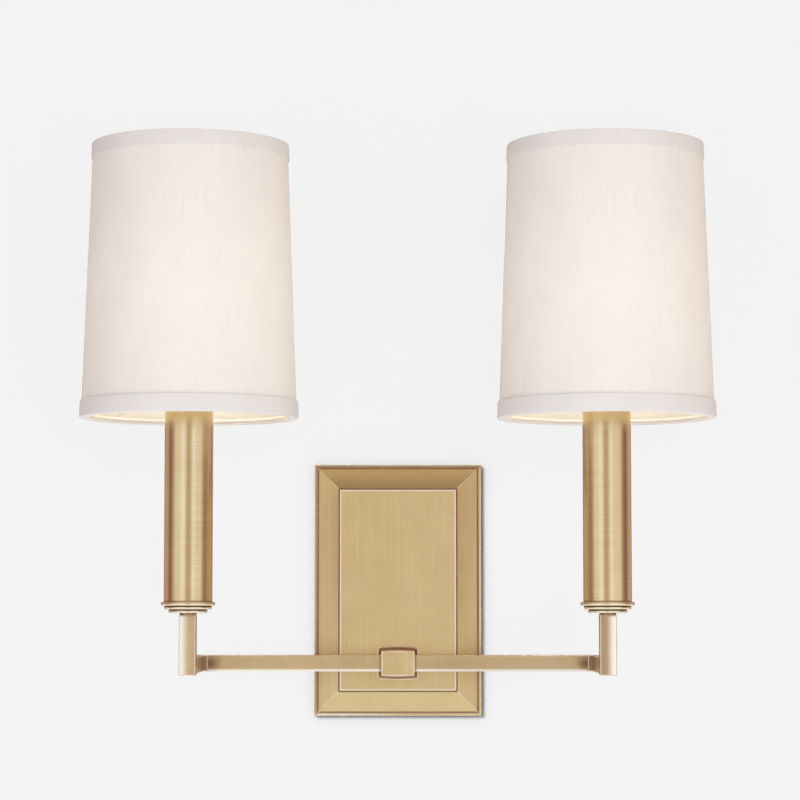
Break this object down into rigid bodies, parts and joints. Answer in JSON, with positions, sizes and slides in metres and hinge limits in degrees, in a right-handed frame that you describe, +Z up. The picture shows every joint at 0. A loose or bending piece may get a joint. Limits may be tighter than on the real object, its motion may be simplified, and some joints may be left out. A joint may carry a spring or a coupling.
{
  "type": "wall sconce",
  "caption": "Two-arm wall sconce in aged brass: bevelled wall plate, square arms, candle sleeves and tapered fabric shades.",
  "frame": {"origin": "centre of the wall plate, on the wall", "axes": "+Z up, +X to the right as seen from the room, +Y into the wall, so the light stands out along -Y"},
  "size_m": [0.4176, 0.1669, 0.3785],
  "materials": {
    "aged_brass": "aged, brushed and lacquered",
    "zinc_plated_steel": "bright zinc plate",
    "green_screw": "green dyed zinc",
    "socket_phenolic": "moulded",
    "socket_brass": "plain rolled sheet",
    "lamp_solder": "tinned",
    "lamp_insulator": "black glass",
    "lamp_cap": "rolled",
    "frosted_glass": "inside frosted",
    "shade_silk": "off-white slubbed silk on liner",
    "shade_tape": "folded self-fabric tape",
    "shade_wire": "white enamel"
  },
  "bodies": {
    "frame": {"back_plate": "aged_brass", "mounting_strap": "zinc_plated_steel", "ground_screw": "green_screw", "plate_set_screws": "zinc_plated_steel", "hub_foot": "aged_brass", "hub_block": "aged_brass", "hub_nipple": "zinc_plated_steel", "hub_washer": "zinc_plated_steel", "hub_nut": "zinc_plated_steel", "left_arm": "aged_brass", "left_elbow": "aged_brass", "left_post": "aged_brass", "left_cup": "aged_brass", "left_sleeve": "aged_brass", "left_stem": "zinc_plated_steel", "left_stem_washer": "zinc_plated_steel", "left_stem_nuts": "zinc_plated_steel", "left_socket_bracket": "zinc_plated_steel", "left_socket_body": "socket_phenolic", "left_socket_liner": "socket_brass", "left_socket_contact": "socket_brass", "right_arm": "aged_brass", "right_elbow": "aged_brass", "right_post": "aged_brass", "right_cup": "aged_brass", "right_sleeve": "aged_brass", "right_stem": "zinc_plated_steel", "right_stem_washer": "zinc_plated_steel", "right_stem_nuts": "zinc_plated_steel", "right_socket_bracket": "zinc_plated_steel", "right_socket_body": "socket_phenolic", "right_socket_liner": "socket_brass", "right_socket_contact": "socket_brass"},
    "left_shade": {"left_shade_panel": "shade_silk", "left_shade_fitter": "shade_wire", "left_shade_top_ring": "shade_wire", "left_shade_top_trim": "shade_tape", "left_shade_bottom_trim": "shade_tape"},
    "left_shade_ring": {"left_shade_retaining_ring": "socket_phenolic"},
    "left_bulb": {"left_bulb_glass": "frosted_glass", "left_bulb_base": "lamp_cap", "left_bulb_insulator": "lamp_insulator", "left_bulb_contact": "lamp_solder"},
    "right_shade": {"right_shade_panel": "shade_silk", "right_shade_fitter": "shade_wire", "right_shade_top_ring": "shade_wire", "right_shade_top_trim": "shade_tape", "right_shade_bottom_trim": "shade_tape"},
    "right_shade_ring": {"right_shade_retaining_ring": "socket_phenolic"},
    "right_bulb": {"right_bulb_glass": "frosted_glass", "right_bulb_base": "lamp_cap", "right_bulb_insulator": "lamp_insulator", "right_bulb_contact": "lamp_solder"}
  },
  "joints": [
    {"name": "left_shade_turn", "type": "hinge", "parent": "frame", "child": "left_shade", "pos_m": [-0.137, -0.095, 0.1368], "axis": [0, 0, 1], "continuous": true},
    {"name": "left_shade_ring_turn", "type": "hinge", "parent": "frame", "child": "left_shade_ring", "pos_m": [-0.137, -0.095, 0.1368], "axis": [0, 0, 1], "range_deg": [0, 1080]},
    {"name": "left_bulb_turn", "type": "hinge", "parent": "frame", "child": "left_bulb", "pos_m": [-0.137, -0.095, 0.1368], "axis": [0, 0, 1], "range_deg": [0, 900]},
    {"name": "right_shade_turn", "type": "hinge", "parent": "frame", "child": "right_shade", "pos_m": [0.137, -0.095, 0.1368], "axis": [0, 0, 1], "continuous": true},
    {"name": "right_shade_ring_turn", "type": "hinge", "parent": "frame", "child": "right_shade_ring", "pos_m": [0.137, -0.095, 0.1368], "axis": [0, 0, 1], "range_deg": [0, 1080]},
    {"name": "right_bulb_turn", "type": "hinge", "parent": "frame", "child": "right_bulb", "pos_m": [0.137, -0.095, 0.1368], "axis": [0, 0, 1], "range_deg": [0, 900]}
  ]
}
